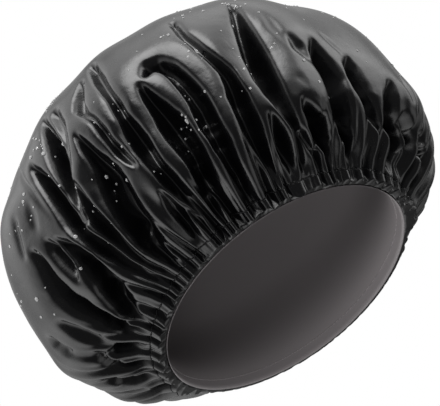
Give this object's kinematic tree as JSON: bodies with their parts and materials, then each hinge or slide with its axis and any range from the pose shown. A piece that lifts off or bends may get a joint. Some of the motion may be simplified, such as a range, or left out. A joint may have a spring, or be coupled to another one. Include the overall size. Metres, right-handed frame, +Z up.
{
  "type": "shower cap",
  "caption": "Gathered dome of coated satin with a film lining, drawn in to a bound hem that holds an elastic band; keeps hair dry in the shower.",
  "frame": {"origin": "centre of the head opening, in the plane of the hem's lower edge, on which the cap stands", "axes": "+Z up through the crown, +Y to the back, where the elastic's ends are lapped, +X to the side"},
  "size_m": [0.2956, 0.2958, 0.196],
  "materials": {
    "coated_satin": "glossy satin",
    "lining_film": "soft sheen",
    "casing_satin": "glossy satin",
    "elastic": "knitted over rubber",
    "sewing_thread": "spun thread"
  },
  "bodies": {
    "hem": {"hem_casing": "casing_satin", "hem_facing": "lining_film", "elastic_band": "elastic", "elastic_splice_stitch": "sewing_thread", "hem_needle_thread": "sewing_thread", "hem_bobbin_thread": "sewing_thread"},
    "crown": {"outer_shell": "coated_satin", "inner_lining": "lining_film"}
  },
  "joints": [
    {"name": "crown_collapse", "type": "slide", "parent": "hem", "child": "crown", "axis": [0, 0, 1], "range_m": [-0.11, 0], "deforming": ["outer_shell", "inner_lining"]}
  ]
}
